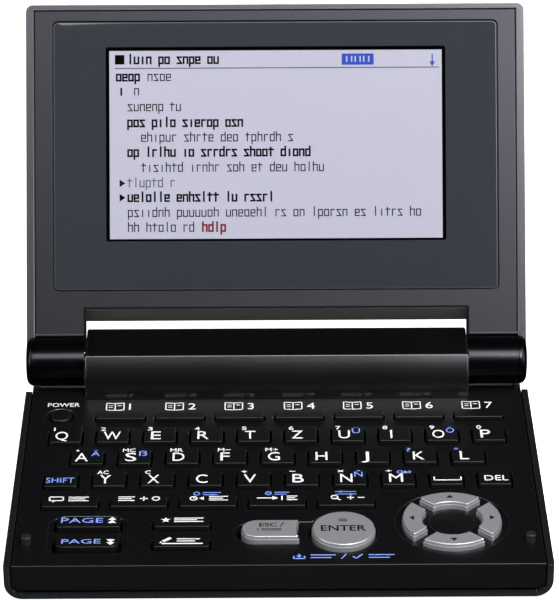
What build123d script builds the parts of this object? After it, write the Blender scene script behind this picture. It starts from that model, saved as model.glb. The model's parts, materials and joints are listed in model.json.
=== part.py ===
from build123d import *
import os
from math import sqrt

# Pocket electronic dictionary: a keyboard base and a display lid on a friction hinge.
# Millimetres. X runs to the right, Y from the front edge of the deck to the rear, Z up from the table.
# The lid is drawn upright on the hinge axis, display towards -Y, and then leaned back.

# ---------------------------------------------------------------- case
case_width = 110.5
case_wall = 1.4
case_corner = 3.6          # lower long edges of the case
case_front_lip = 0.6       # how far the rim stands in front of the deck
front_rounding = 1.0
rear_rounding = 2.4
foot_height = 0.5
base_thickness = 7.9       # underside of the case to the top of the deck
deck_thickness = 1.4
deck_seam = 0.25           # groove between the deck and the case rails
skirt_gap = 0.7            # slot under the deck's front skirt
skirt_thickness = 1.4
rear_inset = 1.15          # the case is narrower behind the rails
rail_to_barrel = 1.75      # the rails stop this far in front of the lid's barrels
trough_gap = 0.5           # lid barrel to the case below it
trough_wall = 1.2

# ---------------------------------------------------------------- keys
key_side_margin = 6.4      # side of the case to the first key of a full row
key_rise = 0.9             # key tops above the deck
key_travel = 0.6
key_gap = 0.35             # key to the edge of its window in the deck
key_corner = 0.8
key_edge = 0.3
lip_thickness = 0.6
lip_reach = 0.8            # the lips that hold a key under the deck
lip_clearance = 0.05
well_depth = 0.45          # dished wells round the silver keys
well_margin = 0.9
letter_width = 7.0
letter_depth = 6.2
letter_row_pitch = 9.0
full_row_keys = 10
middle_row_keys = 9
lookup_keys_count = 5
lookup_gap = 2.63
lookup_to_pad = 3.98        # last lookup key to the well of the arrow pad
lookup_depth = 3.9
dictionary_keys_count = 7
dictionary_gap = 2.43
dictionary_depth = 2.6
small_key_depth = 3.7
small_key_pitch = 7.6
page_key_rounding = 1.7
page_well_side = 1.3       # page keys to the sides of their well
page_well_length = 14.8
page_well_corner = 4.0
page_side = 8.4            # side of the case to the well of the page keys
marker_key_gap = 6.6       # page keys to the two keys beside them
marker_narrower = 1.8      # than the page keys
power_radius = 2.3
power_rise = 0.35
power_well_radius = 3.3
enter_radius = 6.5
escape_gap = 5.8           # marker keys to the escape key
escape_shorter = 1.4       # than the page keys
escape_depth = 6.5
escape_to_enter = 2.65
escape_lip_inset = 1.0
pad_outer_radius = 10.1
pad_inner_radius = 6.2
pad_island_radius = 4.75
pad_well_radius = 11.6
pad_gap = 2.3
pad_key_gap = 0.25

# front-to-rear layout of the keyboard, from the front edge of the deck
small_row_front = 5.7
lookup_front = 21.2
last_letter_front = 29.3
dictionary_front_step = 10.0   # front of the first letter row to the front of the dictionary keys
block_foot_step = 9.9          # front of the dictionary keys to the foot of the hinge block
enter_y = 12.0
pad_y = 15.6
pad_side = 19.75           # side of the case to the middle of the arrow pad
enter_to_pad = 22.5
power_side = 8.35
power_to_dictionary = 7.67 # middle of the power key to the first dictionary key
power_step = 2.4           # front of the dictionary keys to the middle of the power key

# ---------------------------------------------------------------- hinge and block
barrel_length = 12.85
block_height = 9.0         # above the deck, level with the closed lid
block_wall = 1.0
block_end_wall = 1.2
block_front_slope = 3.3    # foot to crease, seen from the side
block_front_bulge = 0.55
block_bulge_rise = 0.2     # the fullest point of the front face above its middle
block_skirt_depth = 5.3    # the part of the block that reaches down between deck and case
block_depth = 16.8         # foot to the rear face
block_rear_rounding = 1.6
least_rounding = 0.3
crease_rounding = 0.4
axis_behind_foot = 10.8
barrel_radius = 5.45
barrel_gap = 0.4           # block end to barrel
shaft_radius = 2.0
shaft_clearance = 0.05
shaft_wall_clearance = 0.2
shaft_end_wall = 4.35      # end of the shaft to the end of the barrel
hinge_unit_radius = 3.9
hinge_unit_to_bay = 2.4     # friction unit to the rib of the battery bay
hinge_unit_half_depth = 3.5
hinge_unit_gap = 0.2       # friction unit to the end wall of the block
hinge_foot_inset = 0.5
hinge_pedestal_height = 5.6
hinge_pedestal_inset = 1.0
shaft_inset = 0.4          # inner end of the shaft inside the friction unit
cable_radius = 0.7
cable_clearance = 0.2

# ---------------------------------------------------------------- battery
cell_radius = 7.1          # one AA cell
cell_length = 50.2
cell_nub_radius = 2.75
cell_nub_length = 1.2
cell_clearance = 0.2
cell_rounding = 0.6
spring_space = 4.6
contact_thickness = 0.4
contact_above_cell = 3.5   # middle of the cell to the top of the contacts
contact_below_cell = 4.5
contact_half_depth = 4.0
leaf_half_depth = 3.0
bay_front_gap = 0.1        # wall of the block to the battery bay
bay_rib_above_cell = 4.0
cover_wall = 1.0
cover_gap = 0.15
cover_tab_width = 8.0
cover_tab_length = 1.6
cover_tab_thickness = 0.5
cover_tab_rise = 0.45      # underside of the case to the tabs
cover_tab_root = 0.5
cover_tab_gap = 0.1
grip_groove_count = 4
grip_groove_pitch = 1.6
grip_groove_inset = 1.5
grip_groove_width = 0.7
grip_groove_depth = 0.3
grip_groove_length = 18.0

# ---------------------------------------------------------------- inside the base
board_thickness = 0.8
board_clearance = 1.7      # floor of the case to the board
board_side = 7.45          # side of the case to the edge of the board
board_front = 3.0
board_rear_gap = 3.0
board_rib_inset = 1.0
board_rib_end = 3.0
chip_thickness = 1.2
# chips as x and y from the middle of the board, width and depth
processor = (-14.0, 0.5, 14.0, 14.0)
memory = (8.0, 2.5, 12.0, 18.0)
regulator = (28.0, 6.5, 6.0, 5.0)
crystal = (-34.0, 18.5, 7.0, 3.0)
cable_socket = (34.0, -15.5, 9.0, 4.0)
mat_thickness = 0.5
dome_radius = 1.6
dome_clearance = 0.1
rib_width = 1.2
screw_side = 4.65          # side of the case to the screws
front_screw_step = 8.8     # lowest row of keys to the front screws
rear_screw_inset = 5.3     # end of the rails to the rear screws
screw_radius = 1.0
screw_head_radius = 1.7
screw_head_height = 0.85
screw_recess_depth = 1.1
screw_hole_clearance = 0.1
screw_end_gap = 0.3
screw_cross_length = 2.2
screw_cross_width = 0.5
screw_cross_depth = 0.4
boss_radius = 2.3
post_radius = 1.6
boss_height = 2.7
post_gap = 0.05            # boss of the case to post of the deck
foot_radius = 2.0
foot_length = 11.0
foot_side = 9.5
front_foot_y = 6.5
rear_foot_inset = 4.5
buffer_radius = 1.05
buffer_height = 1.8
buffer_edge = 0.35
buffer_side = 4.15
buffer_y = 8.6

# ---------------------------------------------------------------- lid
lid_lean = 29.0            # from upright, as it stands open
face_offset = 1.45         # hinge axis to the display face
lid_overhang = 0.4         # free edge of the lid past the front rim, when shut
lid_corner = 1.6
lid_back_rounding = 1.8
rim_width = 1.8
rim_top_width = 1.2
frame_gap = 0.15
frame_thickness = 1.65
frame_edge = 0.3
lid_back_wall = 1.4
lid_ledge = 1.0            # the frame rests on this ledge inside the rim
notch_at_face = 11.5       # hinge axis to the edge of the notch, at the display face
notch_at_back = 8.9        # the same at the back of the lid
notch_wall = 1.6
groove_width = 0.2
groove_depth = 0.35
window_thickness = 0.8
window_inset = 0.05
window_side = 6.05         # side of the lid to the window
window_below = 15.6        # hinge axis to the window
window_above = 3.85        # window to the free edge of the lid
window_corner = 1.1
window_edge = 0.2
screen_width = 74.0
screen_above = 10.2        # lit picture to the free edge of the lid
screen_border = 0.75       # black border between the picture and the window print
glass_side = 3.6           # how far the glass goes on behind the frame
glass_below = 6.2
glass_thickness = 1.7
light_thickness = 1.5
holder_thickness = 0.3
holder_inset = 0.2
cable_rise = 3.0
cable_inset = 1.6
cable_tail = 0.8           # the cable's end inside the block, past the friction unit
cable_slant = 3.0
cable_bend = 1.6

past = 1.0                 # how far a cutting shape runs past the surface
sink = 0.1                 # how far joined shapes run into each other
near = 0.01                # tolerance for picking edges by place

# ---------------------------------------------------------------- worked out
half = case_width / 2
floor_z = foot_height
floor_top = floor_z + case_wall
deck_z = foot_height + base_thickness
deck_under = deck_z - deck_thickness
key_top = deck_z + key_rise
lip_top = deck_under - lip_clearance
key_bottom = lip_top - lip_thickness
row_half = half - key_side_margin
key_pitch = (2 * row_half - letter_width) / (full_row_keys - 1)
first_letter_front = last_letter_front + 2 * letter_row_pitch
dictionary_front = first_letter_front + dictionary_front_step
block_foot = dictionary_front + block_foot_step
axis_y = block_foot + axis_behind_foot
block_top = deck_z + block_height
axis_z = block_top - barrel_radius
block_rear = block_foot + block_depth
rail_end = axis_y - barrel_radius - rail_to_barrel
rear_half = half - rear_inset
barrel_inner = half - barrel_length
block_half_width = barrel_inner - barrel_gap
shaft_end = half - shaft_end_wall
rear_top = axis_z - barrel_radius - trough_gap
deck_half = half - case_wall - deck_seam
deck_rear = block_foot - cover_gap
board_rear = deck_rear - board_rear_gap
board_z = floor_top + board_clearance
board_top = board_z + board_thickness
mat_top = board_top + mat_thickness
dome_top = key_bottom - key_travel - dome_clearance
cell_y = block_rear - cover_wall - cell_clearance - cell_radius
cell_z = floor_z + cover_wall + cell_clearance + cell_radius
bay_half = (cell_length + spring_space + contact_thickness) / 2
bay_front = block_foot + block_wall + bay_front_gap
block_inner = block_half_width - block_end_wall
unit_outer = block_inner - hinge_unit_gap
unit_inner = bay_half + rib_width + hinge_unit_to_bay
lid_length = axis_y + case_front_lip + lid_overhang
back_offset = barrel_radius
screen_height = screen_width * 9 / 16
screen_below = lid_length - screen_above - screen_height
pad_x = half - pad_side
enter_x = pad_x - enter_to_pad
power_x = -half + power_side
lookup_room = pad_x - pad_well_radius - lookup_to_pad + row_half
lookup_width = (lookup_room - (lookup_keys_count - 1) * lookup_gap) / lookup_keys_count
dictionary_left = power_x + power_to_dictionary
dictionary_room = row_half - dictionary_left - (dictionary_keys_count - 1) * dictionary_gap
dictionary_width = dictionary_room / dictionary_keys_count

# page, marker and escape keys share the room between their well's side and the enter key
page_left = -half + page_side + page_well_side
escape_right = enter_x - enter_radius - escape_to_enter
front_room = escape_right - page_left - marker_key_gap - escape_gap
page_key_width = (front_room + marker_narrower + escape_shorter) / 3
marker_key_width = page_key_width - marker_narrower
escape_length = page_key_width - escape_shorter
page_well_width = page_key_width + 2 * page_well_side
page_x = page_left + page_key_width / 2
marker_x = page_left + page_key_width + marker_key_gap + marker_key_width / 2
power_y = dictionary_front + power_step
screw_xs = (screw_side - half, half - screw_side)
screw_ys = (small_row_front + front_screw_step,
            first_letter_front - letter_row_pitch + letter_depth / 2,
            rail_end - rear_screw_inset)


def slab(x0, x1, y0, y1, z0, z1):
    """A box between its six faces."""
    return Pos((x0 + x1) / 2, (y0 + y1) / 2, (z0 + z1) / 2) * Box(x1 - x0, y1 - y0, z1 - z0)


def peg(x, y, z0, z1, radius):
    """An upright cylinder."""
    return Pos(x, y, (z0 + z1) / 2) * Cylinder(radius, z1 - z0)


def axle(x0, x1, y, z, radius):
    """A cylinder along X."""
    return Pos((x0 + x1) / 2, y, z) * Rot(0, 90, 0) * Cylinder(radius, x1 - x0)


def side_slab(side, x0, x1, y0, y1, z0, z1):
    """A slab on one side of the middle, side being -1 or 1."""
    left, right = sorted((side * x0, side * x1))
    return slab(left, right, y0, y1, z0, z1)


def both_sides(shape):
    """The shape and its mirror image across the middle."""
    return Compound(children=[shape, mirror(shape, Plane.YZ)])


def edges_at(shape, axis, value, along=None):
    """Edges that lie at one height along an axis."""
    found = shape.edges().filter_by_position(axis, value - near, value + near)
    return found.filter_by(along) if along else found


# ---------------------------------------------------------------- key outlines
def cap_outline(x, front, width, depth, grow=0.0):
    """A rectangular key seen from above."""
    sketch = RectangleRounded(width + 2 * grow, depth + 2 * grow, key_corner + grow)
    return Pos(x, front + depth / 2) * sketch


def lips_outline(x, front, width, depth):
    """The lips in front of and behind a rectangular key."""
    return Pos(x, front + depth / 2) * Rectangle(width - 2 * key_corner, depth + 2 * lip_reach)


def escape_outline(grow=0.0):
    """Round at its left end, hollowed at the right to follow the enter key."""
    radius = escape_depth / 2 + grow
    right = enter_x - enter_radius - escape_to_enter / 2
    left = escape_right - escape_length + escape_depth / 2
    bar = Pos((left + right) / 2, enter_y) * Rectangle(right - left, 2 * radius)
    end = Pos(left, enter_y) * Circle(radius)
    hollow = Pos(enter_x, enter_y) * Circle(enter_radius + escape_to_enter - grow)
    return (bar + end) - hollow


def escape_lips():
    left = escape_right - escape_length + escape_depth
    right = escape_right - escape_lip_inset
    return Pos((left + right) / 2, enter_y) * Rectangle(right - left, escape_depth + 2 * lip_reach)


def arrow_outline(turn, grow=0.0, reach=0.0):
    """A quarter of the arrow pad, its sides parallel to the diagonals."""
    ring = Circle(pad_outer_radius + grow + reach) - Circle(pad_inner_radius - grow - reach)
    apex = (pad_gap / 2 - grow) * sqrt(2)
    span = 2 * pad_outer_radius
    wedge = make_face(Polyline((0, apex), (span, apex + span), (-span, apex + span), (0, apex)))
    return Pos(pad_x, pad_y) * Rot(0, 0, turn) * (ring & wedge)


def key(outline, lips, top=key_top):
    """A cap through the deck, with the lips that hold it from below."""
    cap = Pos(0, 0, key_bottom) * extrude(outline, top - key_bottom)
    cap = fillet(cap.faces().sort_by(Axis.Z)[-1].edges(), key_edge)
    return cap + Pos(0, 0, key_bottom) * extrude(lips, lip_thickness)


def row_keys(names, first_x, pitch, front, width, depth):
    """One row of equal keys as name: (x, front, width, depth)."""
    return {name: (first_x + place * pitch, front, width, depth) for place, name in enumerate(names)}


rows = {}
full_row_x = letter_width / 2 - row_half
middle_row_x = -(middle_row_keys - 1) / 2 * key_pitch
rows.update(row_keys("qwertzuiop", full_row_x, key_pitch, first_letter_front, letter_width, letter_depth))
rows.update(row_keys("asdfghjkl", middle_row_x, key_pitch, first_letter_front - letter_row_pitch,
                     letter_width, letter_depth))
last_row = ["shift"] + list("yxcvbnm") + ["space", "delete"]
rows.update(row_keys(last_row, full_row_x, key_pitch, last_letter_front, letter_width, letter_depth))

lookup_row = row_keys(range(lookup_keys_count), lookup_width / 2 - row_half, lookup_width + lookup_gap,
                      lookup_front, lookup_width, lookup_depth)
dictionary_pitch = dictionary_width + dictionary_gap
dictionary_x = row_half - dictionary_width / 2 - (dictionary_keys_count - 1) * dictionary_pitch
dictionary_row = row_keys(range(dictionary_keys_count), dictionary_x, dictionary_pitch,
                          dictionary_front, dictionary_width, dictionary_depth)
small_fronts = (small_row_front + small_key_pitch, small_row_front)
marker_row = {place: (marker_x, front, marker_key_width, small_key_depth)
              for place, front in enumerate(small_fronts)}
page_up = (page_x, small_fronts[0], page_key_width, small_key_depth)
page_down = (page_x, small_fronts[1], page_key_width, small_key_depth)


def page_down_key():
    """The lower page key has its two front corners rounded like its well."""
    x, front, width, depth = page_down
    body = slab(x - width / 2, x + width / 2, front, front + depth, key_bottom, key_top)
    body = fillet(body.edges().filter_by(Axis.Z).sort_by(Axis.Y)[:2], page_key_rounding)
    body = fillet(body.faces().sort_by(Axis.Z)[-1].edges(), key_edge)
    lips = lips_outline(x, front, width - 2 * page_key_rounding, depth)
    return body + Pos(0, 0, key_bottom) * extrude(lips, lip_thickness)


def make_keys():
    """Every key that moves by itself, and the grouped rows."""
    keys = {}
    for name, place in rows.items():
        keys["key_" + name] = key(cap_outline(*place), lips_outline(*place))
    power = Pos(power_x, power_y) * Circle(power_radius)
    keys["power_key"] = key(power, Pos(power_x, power_y) * Circle(power_radius + lip_reach),
                            deck_z + power_rise)
    enter = Pos(enter_x, enter_y) * Circle(enter_radius)
    keys["enter_key"] = key(enter, Pos(enter_x, enter_y) * Circle(enter_radius + lip_reach))
    keys["escape_key"] = key(escape_outline(), escape_lips())
    for name, turn in (("up", 0), ("left", 90), ("down", 180), ("right", 270)):
        keys["arrow_" + name] = key(arrow_outline(turn), arrow_outline(turn, reach=lip_reach))
    keys["dictionary_keys"] = Compound(children=[
        key(cap_outline(*place), lips_outline(*place)) for place in dictionary_row.values()])
    keys["lookup_keys"] = Compound(children=[
        key(cap_outline(*place), lips_outline(*place)) for place in lookup_row.values()])
    singles = [key(cap_outline(*place), lips_outline(*place)) for place in marker_row.values()]
    singles.append(key(cap_outline(*page_up), lips_outline(*page_up)))
    singles.append(page_down_key())
    keys["page_and_marker_keys"] = Compound(children=singles)
    return keys


# ---------------------------------------------------------------- base
def case_envelope():
    """The outer form of the case: rounded below, stepped in behind the rails."""
    outline = Rectangle(case_width, base_thickness)
    outline = fillet(outline.vertices().group_by(Axis.Y)[0], case_corner)
    length = block_rear + case_front_lip
    body = extrude(Plane.XZ * outline, length)
    body = Pos(0, block_rear, floor_z + base_thickness / 2) * body
    front_edges = body.faces().sort_by(Axis.Y)[0].edges().filter_by(lambda e: e.center().Z < deck_z - near)
    body = fillet(front_edges, front_rounding)
    rear_edge = edges_at(body, Axis.Y, block_rear, Axis.X).sort_by(Axis.Z)[0:1]
    body = fillet(rear_edge, rear_rounding)
    for side in (-1, 1):
        body -= side_slab(side, rear_half, half + past, rail_end, block_rear + past, 0, deck_z + past)
        body -= side_slab(side, block_inner, half + past, rail_end, block_rear + past,
                          rear_top, deck_z + past)
    return body


def case_cavity():
    """The hollow of the case, open at the front and the top."""
    wide = half - case_wall
    outline = Rectangle(2 * wide, base_thickness)
    outline = fillet(outline.vertices().group_by(Axis.Y)[0], case_corner - case_wall)
    front = -case_front_lip - past
    body = Pos(0, rail_end - case_wall, floor_top + base_thickness / 2) * extrude(
        Plane.XZ * outline, rail_end - case_wall - front)
    narrow = rear_half - case_wall
    return body + slab(-narrow, narrow, rail_end - case_wall - past, block_rear - case_wall,
                       floor_top, deck_z + past)


def battery_opening(gap):
    """The space of the battery cover in the underside and the rear of the case."""
    side = bay_half - gap
    return slab(-side, side, bay_front + gap, block_rear + past, 0, deck_z + past)


def cover_tabs(gap):
    """The two tabs in front of the battery cover, or their slots."""
    tabs = []
    low = floor_z + cover_tab_rise
    for x in (-bay_half / 2, bay_half / 2):
        tabs.append(slab(x - cover_tab_width / 2 - gap, x + cover_tab_width / 2 + gap,
                         bay_front - cover_tab_length - gap, bay_front + cover_gap + cover_tab_root,
                         low - gap, low + cover_tab_thickness + gap))
    return tabs


def make_bottom_case(envelope):
    """The tray: floor, rails, ribs, screw bosses and the walls of the battery bay."""
    case = envelope - case_cavity()
    case -= slab(case_wall - half, half - case_wall, rail_end - 2 * case_wall, rail_end + past,
                 deck_under, deck_z + past)
    case += slab(-block_inner, block_inner, bay_front - case_wall, bay_front, floor_top, deck_under)
    board_rib = half - board_side - board_rib_inset
    for side in (-1, 1):
        case += side_slab(side, bay_half, bay_half + rib_width, bay_front + rib_width,
                          block_rear - case_wall, floor_top, cell_z + bay_rib_above_cell)
        case += side_slab(side, unit_inner, unit_outer - hinge_pedestal_inset,
                          axis_y - hinge_unit_half_depth, axis_y + hinge_unit_half_depth,
                          floor_top, floor_top + hinge_pedestal_height)
        case += side_slab(side, board_rib - rib_width, board_rib, board_front + board_rib_end,
                          board_rear - board_rib_end, floor_top, board_z)
    case -= battery_opening(0) & slab(-half, half, bay_front, block_rear + past, 0, floor_top)
    case -= battery_opening(0) & slab(-half, half, block_rear - case_wall, block_rear + past, 0, deck_z)
    for slot in cover_tabs(cover_tab_gap):
        case -= slot
    for x in screw_xs:
        for y in screw_ys:
            case += peg(x, y, floor_top - sink, floor_top + boss_height, boss_radius)
            case -= peg(x, y, 0, floor_top + boss_height + past, screw_radius + screw_hole_clearance)
            case -= peg(x, y, 0, floor_z + screw_recess_depth, screw_head_radius + screw_hole_clearance)
    return case


def make_keyboard_deck():
    """The top plate with its key windows and wells, front skirt and barrel troughs."""
    block_side = block_half_width + cover_gap
    deck = slab(-deck_half, deck_half, 0, rail_end, deck_under, deck_z)
    deck -= slab(-block_side, block_side, deck_rear, rail_end + past, deck_under - past, deck_z + past)
    skirt_height = base_thickness - case_wall - skirt_gap
    skirt = Rectangle(2 * deck_half, skirt_height)
    skirt = fillet(skirt.vertices().group_by(Axis.Y)[0], case_corner - case_wall - deck_seam)
    deck += Pos(0, skirt_thickness, deck_z - skirt_height / 2) * extrude(Plane.XZ * skirt, skirt_thickness)
    deck = fillet(edges_at(deck.faces().sort_by(Axis.Y)[0], Axis.Z, deck_z), key_edge)
    trough_bottom = rear_top - trough_wall
    trough_side = rear_half - case_wall - cover_gap
    trough_rear = block_rear - case_wall - cover_gap
    for side in (-1, 1):
        deck += side_slab(side, block_side, trough_side, rail_end - deck_thickness, rail_end,
                          trough_bottom, deck_under)
        deck += side_slab(side, block_inner, trough_side, rail_end - deck_thickness, trough_rear,
                          trough_bottom, rear_top)
    for x in screw_xs:
        for y in screw_ys:
            post = peg(x, y, floor_top + boss_height + post_gap, deck_under, post_radius)
            deck += post - peg(x, y, 0, deck_under, screw_radius)
    return cut_key_windows(deck)


def cut_key_windows(deck):
    """Windows for every key, and the dished wells round the rounded ones."""
    def cut(outline, bottom):
        nonlocal deck
        deck -= Pos(0, 0, bottom) * extrude(outline, deck_z + past - bottom)

    well = deck_z - well_depth
    cut(Pos(power_x, power_y) * Circle(power_well_radius), well)
    page_mid = small_row_front + (small_key_pitch + small_key_depth) / 2
    page_well = RectangleRounded(page_well_width, page_well_length, page_well_corner)
    cut(Pos(page_x, page_mid) * page_well, well)
    enter_well = Pos(enter_x, enter_y) * Circle(enter_radius + well_margin)
    left = escape_right - escape_length + escape_depth / 2
    escape_well = Pos((left + enter_x) / 2, enter_y) * Rectangle(
        enter_x - left, escape_depth + 2 * well_margin)
    escape_well += Pos(left, enter_y) * Circle(escape_depth / 2 + well_margin)
    cut(enter_well + escape_well, well)
    cut(Pos(pad_x, pad_y) * (Circle(pad_well_radius) - Circle(pad_island_radius)), well)
    below = deck_under - past
    places = list(rows.values()) + list(lookup_row.values()) + list(dictionary_row.values())
    places += list(marker_row.values()) + [page_up, page_down]
    for place in places:
        cut(cap_outline(*place, grow=key_gap), below)
    cut(Pos(power_x, power_y) * Circle(power_radius + key_gap), below)
    cut(Pos(enter_x, enter_y) * Circle(enter_radius + key_gap), below)
    cut(escape_outline(key_gap), below)
    for turn in (0, 90, 180, 270):
        cut(arrow_outline(turn, pad_key_gap), below)
    return deck


def block_profile(inset):
    """The hinge block seen from the side, its wall thickness taken off all round."""
    foot = block_foot + inset
    rear = block_rear - inset
    crease = block_foot + block_front_slope + inset
    top = block_top - inset
    bottom = deck_under if inset == 0 else deck_under - past
    middle = ((foot + crease) / 2 - block_front_bulge, (deck_z + top) / 2 + block_bulge_rise)
    radius = max(block_rear_rounding - inset, least_rounding)
    outline = [
        Line((foot, bottom), (foot, deck_z)),
        ThreePointArc((foot, deck_z), middle, (crease, top)),
        Line((crease, top), (rear - radius, top)),
        RadiusArc((rear - radius, top), (rear, top - radius), radius),
        Line((rear, top - radius), (rear, bottom)),
        Line((rear, bottom), (foot, bottom)),
    ]
    return Plane.YZ * make_face(outline)


def make_block_cover():
    """The cover of the hinge block: front, top and rear in one, with a bored wall at each end."""
    cover = extrude(block_profile(0), block_half_width, both=True)
    crease = edges_at(cover, Axis.Z, block_top, Axis.X).sort_by(Axis.Y)[0]
    cover = fillet(crease, crease_rounding)
    cover -= extrude(block_profile(block_wall), block_inner, both=True)
    cover -= slab(-half, half, block_foot + block_skirt_depth, block_rear + past, deck_under - past, deck_z)
    for side in (-1, 1):
        cover += side_slab(side, block_inner, block_half_width, rail_end + cover_gap, block_rear,
                           rear_top, deck_z)
    return cover - axle(-half, half, axis_y, axis_z, shaft_radius + shaft_wall_clearance)


def make_battery_cover(envelope):
    """An L-shaped cover under and behind the cell; it slides off to the rear."""
    cover = envelope & battery_opening(cover_gap)
    cover -= slab(-half, half, 0, block_rear - cover_wall, floor_z + cover_wall, deck_z + past)
    cover -= slab(-half, half, 0, block_rear + past, deck_z - cover_gap, deck_z + past)
    for tab in cover_tabs(0):
        cover += tab
    for place in range(grip_groove_count):
        y = block_rear - rear_rounding - grip_groove_inset - place * grip_groove_pitch
        cover -= slab(-grip_groove_length / 2, grip_groove_length / 2, y - grip_groove_width, y,
                      0, floor_z + grip_groove_depth)
    return cover


def make_cell():
    """One AA cell, lying across the case in the hinge block."""
    right = bay_half - contact_thickness
    left = right - cell_length
    can = axle(left, right - cell_nub_length, cell_y, cell_z, cell_radius)
    can = fillet(can.edges(), cell_rounding)
    return can + axle(right - cell_nub_length - sink, right, cell_y, cell_z, cell_nub_radius)


def make_contacts():
    """The flat positive contact and the sprung negative one."""
    low = cell_z - contact_below_cell
    high = cell_z + contact_above_cell
    front = cell_y - contact_half_depth
    rear = cell_y + contact_half_depth
    cell_left = bay_half - contact_thickness - cell_length
    plate = slab(bay_half - contact_thickness, bay_half, front, rear, low, high)
    back = slab(-bay_half, contact_thickness - bay_half, front, rear, low, high)
    bottom = slab(-bay_half, cell_left, front, rear, low, low + contact_thickness)
    leaf = slab(cell_left - contact_thickness, cell_left, cell_y - leaf_half_depth, cell_y + leaf_half_depth,
                low, high)
    return Compound(children=[plate, back + bottom + leaf])


def make_main_board():
    """The circuit board under the keys."""
    side = half - board_side
    return slab(-side, side, board_front, board_rear, board_z, board_top)


def make_board_chips():
    """The parts soldered to the underside of the board."""
    chips = []
    board_middle = (board_front + board_rear) / 2
    for x, step, width, depth in (processor, memory, regulator, crystal, cable_socket):
        y = board_middle + step
        chips.append(slab(x - width / 2, x + width / 2, y - depth / 2, y + depth / 2,
                          board_z - chip_thickness, board_z))
    return Compound(children=chips)


def key_middles():
    """The middle of every key, for the rubber domes below."""
    middles = [(x, front + depth / 2) for x, front, width, depth in
               list(rows.values()) + list(lookup_row.values()) + list(dictionary_row.values())
               + list(marker_row.values()) + [page_up, page_down]]
    middles += [(power_x, power_y), (enter_x, enter_y)]
    middles.append((escape_right - escape_length / 2, enter_y))
    arm = (pad_outer_radius + pad_inner_radius) / 2
    middles += [(pad_x, pad_y + arm), (pad_x, pad_y - arm), (pad_x - arm, pad_y), (pad_x + arm, pad_y)]
    return middles


def make_key_mat():
    """The rubber mat, with one dome under each key."""
    side = half - board_side
    mat = slab(-side, side, board_front, board_rear, board_top, mat_top)
    domes = [peg(x, y, mat_top - sink, dome_top, dome_radius) for x, y in key_middles()]
    return mat.fuse(*domes)


def make_screws():
    """Six screws from below, through the case into the posts of the deck."""
    seat = floor_z + screw_recess_depth
    head_bottom = seat - screw_head_height
    long = screw_cross_length / 2
    narrow = screw_cross_width / 2
    screw = peg(0, 0, head_bottom, seat, screw_head_radius)
    screw -= slab(-long, long, -narrow, narrow, 0, head_bottom + screw_cross_depth)
    screw -= slab(-narrow, narrow, -long, long, 0, head_bottom + screw_cross_depth)
    screw += peg(0, 0, seat - sink, deck_under - screw_end_gap, screw_radius)
    return Compound(children=[Pos(x, y, 0) * screw for x in screw_xs for y in screw_ys])


def make_feet():
    """Four rubber pads under the corners."""
    foot = extrude(SlotOverall(foot_length, 2 * foot_radius), foot_height)
    xs = (foot_side - half, half - foot_side)
    ys = (front_foot_y, block_rear - rear_foot_inset)
    return Compound(children=[Pos(x, y, 0) * foot for x in xs for y in ys])


def make_buffers():
    """Two rubber posts that the closed lid rests on."""
    post = peg(half - buffer_side, buffer_y, deck_z, deck_z + buffer_height, buffer_radius)
    return both_sides(fillet(post.faces().sort_by(Axis.Z)[-1].edges(), buffer_edge))


def make_hinge_units():
    """The two friction units inside the ends of the block."""
    unit = axle(unit_inner, unit_outer, axis_y, axis_z, hinge_unit_radius)
    unit += slab(unit_inner + hinge_foot_inset, unit_outer - hinge_foot_inset,
                 axis_y - hinge_unit_half_depth, axis_y + hinge_unit_half_depth,
                 floor_top + hinge_pedestal_height, axis_z)
    unit -= axle(unit_inner - past, unit_outer + past, axis_y, axis_z, shaft_radius + shaft_clearance)
    return both_sides(unit)


# ---------------------------------------------------------------- lid, upright on the hinge axis
def make_lid_envelope():
    """The lid seen from the side: a slab that runs tangent into the barrel."""
    face = -face_offset
    radius = lid_back_rounding
    profile = make_face([
        Line((face, 0), (face, lid_length)),
        Line((face, lid_length), (back_offset - radius, lid_length)),
        RadiusArc((back_offset - radius, lid_length), (back_offset, lid_length - radius), radius),
        Line((back_offset, lid_length - radius), (back_offset, 0)),
        Line((back_offset, 0), (face, 0)),
    ])
    profile += Circle(barrel_radius)
    body = extrude(Plane.YZ * profile, half, both=True)
    return fillet(edges_at(body, Axis.Z, lid_length, Axis.Y), lid_corner)


def notch(wall):
    """The notch that clears the hinge block; its edge slants to match the block."""
    side = barrel_inner - wall
    front = -barrel_radius - past
    rear = barrel_radius + past
    slope = (notch_at_back - notch_at_face) / (back_offset + face_offset)
    edge_front = notch_at_face + slope * (front + face_offset) + wall
    edge_rear = notch_at_back + slope * (rear - back_offset) + wall
    outline = make_face(Polyline((front, front), (rear, front), (rear, edge_rear), (front, edge_front),
                                 (front, front)))
    return extrude(Plane.YZ * outline, side, both=True)


def frame_plan(gap):
    """The front frame seen from the front, as a slab outline with the given gap all round."""
    side = half - rim_width - frame_gap + gap
    low = barrel_radius + frame_gap - gap
    high = lid_length - rim_top_width - frame_gap + gap
    notch_side = barrel_inner - gap
    plan = Pos(0, (low + high) / 2) * Rectangle(2 * side, high - low)
    return plan - Pos(0, low) * Rectangle(2 * notch_side, 2 * (notch_at_face + frame_gap - gap - low))


def front_slab(plan, y0, y1):
    """A plan in X and Z made solid between two depths, y0 nearer to the viewer."""
    return extrude(Pos(0, y1, 0) * (Plane.XZ * plan), y1 - y0)


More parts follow.
